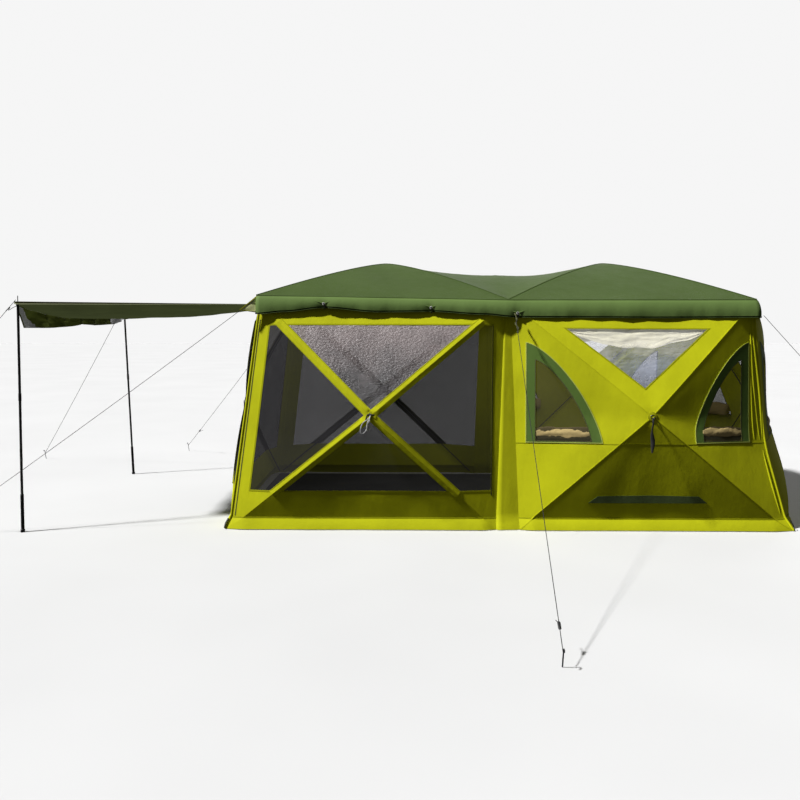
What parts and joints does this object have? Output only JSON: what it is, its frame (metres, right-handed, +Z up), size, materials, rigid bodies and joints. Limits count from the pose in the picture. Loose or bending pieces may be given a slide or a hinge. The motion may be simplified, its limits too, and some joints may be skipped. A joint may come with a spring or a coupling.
{
  "type": "screen house",
  "caption": "Pop-up hub screen house with a screen room, a cabin room, a rain fly and a side awning on poles.",
  "frame": {"origin": "centre of the tent's footprint on the ground, under the strip between its two rooms", "axes": "+X along the long front towards the cabin room, +Y from the front to the back, +Z up"},
  "size_m": [8.1672, 6.31, 2.1],
  "materials": {
    "lime_cloth": "matte",
    "fly_cloth": "matte",
    "awning_cloth": "matte",
    "ground_cloth": "matte",
    "screen_mesh": "matte",
    "window_film": "gloss",
    "webbing": "matte",
    "glass_fibre": "satin",
    "hub_plastic": "satin",
    "white_plastic": "gloss",
    "black_steel": "satin",
    "peg_steel": "satin",
    "guy_cord": "matte"
  },
  "bodies": {
    "root": {"front_wall": "lime_cloth", "back_wall": "lime_cloth", "left_wall": "lime_cloth", "right_wall": "lime_cloth", "groundsheet": "ground_cloth", "fly": "fly_cloth", "awning_pole_front": "black_steel", "awning_pole_back": "black_steel", "guy_front_middle": "guy_cord", "guy_front_left": "guy_cord", "guy_front_right": "guy_cord", "guy_back_left": "guy_cord", "guy_awning_front": "guy_cord", "guy_awning_back": "guy_cord", "peg_front_middle": "peg_steel", "peg_front_left": "peg_steel", "peg_back_left": "peg_steel", "peg_awning_front": "peg_steel", "peg_awning_back": "peg_steel"},
    "awning": {"awning": "awning_cloth"},
    "front_a_hub": {"front_a_hub": "hub_plastic"},
    "front_a_pole_lower_left": {"front_a_pole_lower_left": "glass_fibre"},
    "front_a_pole_lower_right": {"front_a_pole_lower_right": "glass_fibre"},
    "front_a_pole_upper_right": {"front_a_pole_upper_right": "glass_fibre"},
    "front_a_pole_upper_left": {"front_a_pole_upper_left": "glass_fibre"},
    "front_b_hub": {"front_b_hub": "hub_plastic"},
    "front_b_pole_lower_left": {"front_b_pole_lower_left": "glass_fibre"},
    "front_b_pole_lower_right": {"front_b_pole_lower_right": "glass_fibre"},
    "front_b_pole_upper_right": {"front_b_pole_upper_right": "glass_fibre"},
    "front_b_pole_upper_left": {"front_b_pole_upper_left": "glass_fibre"},
    "back_a_hub": {"back_a_hub": "hub_plastic"},
    "back_a_pole_lower_left": {"back_a_pole_lower_left": "glass_fibre"},
    "back_a_pole_lower_right": {"back_a_pole_lower_right": "glass_fibre"},
    "back_a_pole_upper_right": {"back_a_pole_upper_right": "glass_fibre"},
    "back_a_pole_upper_left": {"back_a_pole_upper_left": "glass_fibre"},
    "back_b_hub": {"back_b_hub": "hub_plastic"},
    "back_b_pole_lower_left": {"back_b_pole_lower_left": "glass_fibre"},
    "back_b_pole_lower_right": {"back_b_pole_lower_right": "glass_fibre"},
    "back_b_pole_upper_right": {"back_b_pole_upper_right": "glass_fibre"},
    "back_b_pole_upper_left": {"back_b_pole_upper_left": "glass_fibre"},
    "left_hub": {"left_hub": "hub_plastic"},
    "left_pole_lower_left": {"left_pole_lower_left": "glass_fibre"},
    "left_pole_lower_right": {"left_pole_lower_right": "glass_fibre"},
    "left_pole_upper_right": {"left_pole_upper_right": "glass_fibre"},
    "left_pole_upper_left": {"left_pole_upper_left": "glass_fibre"},
    "right_hub": {"right_hub": "hub_plastic"},
    "right_pole_lower_left": {"right_pole_lower_left": "glass_fibre"},
    "right_pole_lower_right": {"right_pole_lower_right": "glass_fibre"},
    "right_pole_upper_right": {"right_pole_upper_right": "glass_fibre"},
    "right_pole_upper_left": {"right_pole_upper_left": "glass_fibre"},
    "roof_a_hub": {"roof_a_hub": "hub_plastic"},
    "roof_a_pole_front_left": {"roof_a_pole_front_left": "glass_fibre"},
    "roof_a_pole_front_right": {"roof_a_pole_front_right": "glass_fibre"},
    "roof_a_pole_back_right": {"roof_a_pole_back_right": "glass_fibre"},
    "roof_a_pole_back_left": {"roof_a_pole_back_left": "glass_fibre"},
    "roof_b_hub": {"roof_b_hub": "hub_plastic"},
    "roof_b_pole_front_left": {"roof_b_pole_front_left": "glass_fibre"},
    "roof_b_pole_front_right": {"roof_b_pole_front_right": "glass_fibre"},
    "roof_b_pole_back_right": {"roof_b_pole_back_right": "glass_fibre"},
    "roof_b_pole_back_left": {"roof_b_pole_back_left": "glass_fibre"}
  },
  "joints": [
    {"name": "awning_lift", "type": "hinge", "parent": "root", "child": "awning", "pos_m": [-1.985, 0, 1.72], "axis": [0, 1, 0], "range_deg": [0, 100]},
    {"name": "front_a_hub_push", "type": "slide", "parent": "root", "child": "front_a_hub", "axis": [0, 0.9955, -0.0947], "range_m": [0, 0.4826]},
    {"name": "front_a_pole_lower_left_pivot", "type": "hinge", "parent": "front_a_hub", "child": "front_a_pole_lower_left", "pos_m": [-1.09644, -1.28869, 0.84505], "axis": [-0.621, 0.0742, 0.7803], "range_deg": [0, 22.64]},
    {"name": "front_a_pole_lower_right_pivot", "type": "hinge", "parent": "front_a_hub", "child": "front_a_pole_lower_right", "pos_m": [-0.98694, -1.28906, 0.84111], "axis": [-0.676, -0.0698, -0.7336], "range_deg": [0, 24.67]},
    {"name": "front_a_pole_upper_right_pivot", "type": "hinge", "parent": "front_a_hub", "child": "front_a_pole_upper_right", "pos_m": [-0.98526, -1.28003, 0.93612], "axis": [0.6496, -0.072, -0.7569], "range_deg": [0, 23.7]},
    {"name": "front_a_pole_upper_left_pivot", "type": "hinge", "parent": "front_a_hub", "child": "front_a_pole_upper_left", "pos_m": [-1.09087, -1.27963, 0.94028], "axis": [0.7077, 0.0669, 0.7034], "range_deg": [0, 25.85]},
    {"name": "front_b_hub_push", "type": "slide", "parent": "root", "child": "front_b_hub", "axis": [0, 0.9955, -0.0947], "range_m": [0, 0.4826]},
    {"name": "front_b_pole_lower_left_pivot", "type": "hinge", "parent": "front_b_hub", "child": "front_b_pole_lower_left", "pos_m": [0.97842, -1.28908, 0.84086], "axis": [-0.6794, 0.0695, 0.7305], "range_deg": [0, 24.8]},
    {"name": "front_b_pole_lower_right_pivot", "type": "hinge", "parent": "front_b_hub", "child": "front_b_pole_lower_right", "pos_m": [1.08786, -1.28867, 0.84527], "axis": [-0.6179, -0.0744, -0.7827], "range_deg": [0, 22.53]},
    {"name": "front_b_pole_upper_right_pivot", "type": "hinge", "parent": "front_b_hub", "child": "front_b_pole_upper_right", "pos_m": [1.08133, -1.27956, 0.94105], "axis": [0.7184, -0.0659, -0.6925], "range_deg": [0, 26.24]},
    {"name": "front_b_pole_upper_left_pivot", "type": "hinge", "parent": "front_b_hub", "child": "front_b_pole_upper_left", "pos_m": [0.97671, -1.28, 0.93635], "axis": [0.6528, 0.0717, 0.7541], "range_deg": [0, 23.82]},
    {"name": "back_a_hub_push", "type": "slide", "parent": "root", "child": "back_a_hub", "axis": [0, -0.9955, -0.0947], "range_m": [0, 0.4826]},
    {"name": "back_a_pole_lower_left_pivot", "type": "hinge", "parent": "back_a_hub", "child": "back_a_pole_lower_left", "pos_m": [-0.98694, 1.28906, 0.84111], "axis": [0.676, -0.0698, 0.7336], "range_deg": [0, 24.67]},
    {"name": "back_a_pole_lower_right_pivot", "type": "hinge", "parent": "back_a_hub", "child": "back_a_pole_lower_right", "pos_m": [-1.09644, 1.28869, 0.84505], "axis": [0.621, 0.0742, -0.7803], "range_deg": [0, 22.64]},
    {"name": "back_a_pole_upper_right_pivot", "type": "hinge", "parent": "back_a_hub", "child": "back_a_pole_upper_right", "pos_m": [-1.09087, 1.27963, 0.94028], "axis": [-0.7077, 0.0669, -0.7034], "range_deg": [0, 25.85]},
    {"name": "back_a_pole_upper_left_pivot", "type": "hinge", "parent": "back_a_hub", "child": "back_a_pole_upper_left", "pos_m": [-0.98526, 1.28003, 0.93612], "axis": [-0.6496, -0.072, 0.7569], "range_deg": [0, 23.7]},
    {"name": "back_b_hub_push", "type": "slide", "parent": "root", "child": "back_b_hub", "axis": [0, -0.9955, -0.0947], "range_m": [0, 0.4826]},
    {"name": "back_b_pole_lower_left_pivot", "type": "hinge", "parent": "back_b_hub", "child": "back_b_pole_lower_left", "pos_m": [1.08786, 1.28867, 0.84527], "axis": [0.6179, -0.0744, 0.7827], "range_deg": [0, 22.53]},
    {"name": "back_b_pole_lower_right_pivot", "type": "hinge", "parent": "back_b_hub", "child": "back_b_pole_lower_right", "pos_m": [0.97842, 1.28908, 0.84086], "axis": [0.6794, 0.0695, -0.7305], "range_deg": [0, 24.8]},
    {"name": "back_b_pole_upper_right_pivot", "type": "hinge", "parent": "back_b_hub", "child": "back_b_pole_upper_right", "pos_m": [0.97671, 1.28, 0.93635], "axis": [-0.6528, 0.0717, -0.7541], "range_deg": [0, 23.82]},
    {"name": "back_b_pole_upper_left_pivot", "type": "hinge", "parent": "back_b_hub", "child": "back_b_pole_upper_left", "pos_m": [1.08133, 1.27956, 0.94105], "axis": [-0.7184, -0.0659, 0.6925], "range_deg": [0, 26.24]},
    {"name": "left_hub_push", "type": "slide", "parent": "root", "child": "left_hub", "axis": [0.9913, 0, -0.1314], "range_m": [0, 0.3647]},
    {"name": "left_pole_lower_left_pivot", "type": "hinge", "parent": "left_hub", "child": "left_pole_lower_left", "pos_m": [-2.2023, 0.05691, 0.84651], "axis": [0.1039, 0.6126, 0.7835], "range_deg": [0, 17.02]},
    {"name": "left_pole_lower_right_pivot", "type": "hinge", "parent": "left_hub", "child": "left_pole_lower_right", "pos_m": [-2.2023, -0.05691, 0.84651], "axis": [-0.1039, 0.6126, -0.7835], "range_deg": [0, 17.02]},
    {"name": "left_pole_upper_right_pivot", "type": "hinge", "parent": "left_hub", "child": "left_pole_upper_right", "pos_m": [-2.19014, -0.05331, 0.93821], "axis": [-0.0973, -0.6721, -0.734], "range_deg": [0, 18.7]},
    {"name": "left_pole_upper_left_pivot", "type": "hinge", "parent": "left_hub", "child": "left_pole_upper_left", "pos_m": [-2.19014, 0.05331, 0.93821], "axis": [0.0973, -0.6721, 0.734], "range_deg": [0, 18.7]},
    {"name": "right_hub_push", "type": "slide", "parent": "root", "child": "right_hub", "axis": [-0.9885, 0, -0.151], "range_m": [0, 0.5101]},
    {"name": "right_pole_lower_left_pivot", "type": "hinge", "parent": "right_hub", "child": "right_pole_lower_left", "pos_m": [2.28404, -0.05685, 0.86504], "axis": [-0.1192, -0.6137, 0.7805], "range_deg": [0, 23.42]},
    {"name": "right_pole_lower_right_pivot", "type": "hinge", "parent": "right_hub", "child": "right_pole_lower_right", "pos_m": [2.28404, 0.05685, 0.86504], "axis": [0.1192, -0.6137, -0.7805], "range_deg": [0, 23.42]},
    {"name": "right_pole_upper_right_pivot", "type": "hinge", "parent": "right_hub", "child": "right_pole_upper_right", "pos_m": [2.27005, 0.05324, 0.95663], "axis": [0.1117, 0.6732, -0.731], "range_deg": [0, 25.71]},
    {"name": "right_pole_upper_left_pivot", "type": "hinge", "parent": "right_hub", "child": "right_pole_upper_left", "pos_m": [2.27005, -0.05324, 0.95663], "axis": [-0.1117, 0.6732, 0.731], "range_deg": [0, 25.71]},
    {"name": "roof_a_hub_push", "type": "slide", "parent": "root", "child": "roof_a_hub", "axis": [0, 0, -1], "range_m": [0, 0.611]},
    {"name": "roof_a_pole_front_left_pivot", "type": "hinge", "parent": "roof_a_hub", "child": "roof_a_pole_front_left", "pos_m": [-1.01524, -0.05157, 2.038], "axis": [-0.7163, 0.6978, 0], "range_deg": [0, 29.35]},
    {"name": "roof_a_pole_front_right_pivot", "type": "hinge", "parent": "roof_a_hub", "child": "roof_a_pole_front_right", "pos_m": [-0.91476, -0.05157, 2.038], "axis": [-0.7163, -0.6978, 0], "range_deg": [0, 29.35]},
    {"name": "roof_a_pole_back_right_pivot", "type": "hinge", "parent": "roof_a_hub", "child": "roof_a_pole_back_right", "pos_m": [-0.91476, 0.05157, 2.038], "axis": [0.7163, -0.6978, 0], "range_deg": [0, 29.35]},
    {"name": "roof_a_pole_back_left_pivot", "type": "hinge", "parent": "roof_a_hub", "child": "roof_a_pole_back_left", "pos_m": [-1.01524, 0.05157, 2.038], "axis": [0.7163, 0.6978, 0], "range_deg": [0, 29.35]},
    {"name": "roof_b_hub_push", "type": "slide", "parent": "root", "child": "roof_b_hub", "axis": [0, 0, -1], "range_m": [0, 0.611]},
    {"name": "roof_b_pole_front_left_pivot", "type": "hinge", "parent": "roof_b_hub", "child": "roof_b_pole_front_left", "pos_m": [0.89774, -0.05204, 2.038], "axis": [-0.7228, 0.6911, 0], "range_deg": [0, 29.62]},
    {"name": "roof_b_pole_front_right_pivot", "type": "hinge", "parent": "roof_b_hub", "child": "roof_b_pole_front_right", "pos_m": [0.99726, -0.05204, 2.038], "axis": [-0.7228, -0.6911, 0], "range_deg": [0, 29.62]},
    {"name": "roof_b_pole_back_right_pivot", "type": "hinge", "parent": "roof_b_hub", "child": "roof_b_pole_back_right", "pos_m": [0.99726, 0.05204, 2.038], "axis": [0.7228, -0.6911, 0], "range_deg": [0, 29.62]},
    {"name": "roof_b_pole_back_left_pivot", "type": "hinge", "parent": "roof_b_hub", "child": "roof_b_pole_back_left", "pos_m": [0.89774, 0.05204, 2.038], "axis": [0.7228, 0.6911, 0], "range_deg": [0, 29.62]}
  ],
  "couplings": [
    {"joint": "front_a_pole_lower_left_pivot", "follows": "front_a_hub_push", "rad_per_m": 0.80084},
    {"joint": "front_a_pole_lower_right_pivot", "follows": "front_a_hub_push", "rad_per_m": 0.87419},
    {"joint": "front_a_pole_upper_right_pivot", "follows": "front_a_hub_push", "rad_per_m": 0.83895},
    {"joint": "front_a_pole_upper_left_pivot", "follows": "front_a_hub_push", "rad_per_m": 0.91657},
    {"joint": "front_b_pole_lower_left_pivot", "follows": "front_b_hub_push", "rad_per_m": 0.87872},
    {"joint": "front_b_pole_lower_right_pivot", "follows": "front_b_hub_push", "rad_per_m": 0.79681},
    {"joint": "front_b_pole_upper_right_pivot", "follows": "front_b_hub_push", "rad_per_m": 0.93094},
    {"joint": "front_b_pole_upper_left_pivot", "follows": "front_b_hub_push", "rad_per_m": 0.84325},
    {"joint": "back_a_pole_lower_left_pivot", "follows": "back_a_hub_push", "rad_per_m": 0.87419},
    {"joint": "back_a_pole_lower_right_pivot", "follows": "back_a_hub_push", "rad_per_m": 0.80084},
    {"joint": "back_a_pole_upper_right_pivot", "follows": "back_a_hub_push", "rad_per_m": 0.91657},
    {"joint": "back_a_pole_upper_left_pivot", "follows": "back_a_hub_push", "rad_per_m": 0.83895},
    {"joint": "back_b_pole_lower_left_pivot", "follows": "back_b_hub_push", "rad_per_m": 0.79681},
    {"joint": "back_b_pole_lower_right_pivot", "follows": "back_b_hub_push", "rad_per_m": 0.87872},
    {"joint": "back_b_pole_upper_right_pivot", "follows": "back_b_hub_push", "rad_per_m": 0.84325},
    {"joint": "back_b_pole_upper_left_pivot", "follows": "back_b_hub_push", "rad_per_m": 0.93094},
    {"joint": "left_pole_lower_left_pivot", "follows": "left_hub_push", "rad_per_m": 0.79038},
    {"joint": "left_pole_lower_right_pivot", "follows": "left_hub_push", "rad_per_m": 0.79038},
    {"joint": "left_pole_upper_right_pivot", "follows": "left_hub_push", "rad_per_m": 0.87071},
    {"joint": "left_pole_upper_left_pivot", "follows": "left_hub_push", "rad_per_m": 0.87071},
    {"joint": "right_pole_lower_left_pivot", "follows": "right_hub_push", "rad_per_m": 0.78437},
    {"joint": "right_pole_lower_right_pivot", "follows": "right_hub_push", "rad_per_m": 0.78437},
    {"joint": "right_pole_upper_right_pivot", "follows": "right_hub_push", "rad_per_m": 0.86272},
    {"joint": "right_pole_upper_left_pivot", "follows": "right_hub_push", "rad_per_m": 0.86272},
    {"joint": "roof_a_pole_front_left_pivot", "follows": "roof_a_hub_push", "rad_per_m": 0.82428},
    {"joint": "roof_a_pole_front_right_pivot", "follows": "roof_a_hub_push", "rad_per_m": 0.82428},
    {"joint": "roof_a_pole_back_right_pivot", "follows": "roof_a_hub_push", "rad_per_m": 0.82428},
    {"joint": "roof_a_pole_back_left_pivot", "follows": "roof_a_hub_push", "rad_per_m": 0.82428},
    {"joint": "roof_b_pole_front_left_pivot", "follows": "roof_b_hub_push", "rad_per_m": 0.83187},
    {"joint": "roof_b_pole_front_right_pivot", "follows": "roof_b_hub_push", "rad_per_m": 0.83187},
    {"joint": "roof_b_pole_back_right_pivot", "follows": "roof_b_hub_push", "rad_per_m": 0.83187},
    {"joint": "roof_b_pole_back_left_pivot", "follows": "roof_b_hub_push", "rad_per_m": 0.83187}
  ]
}
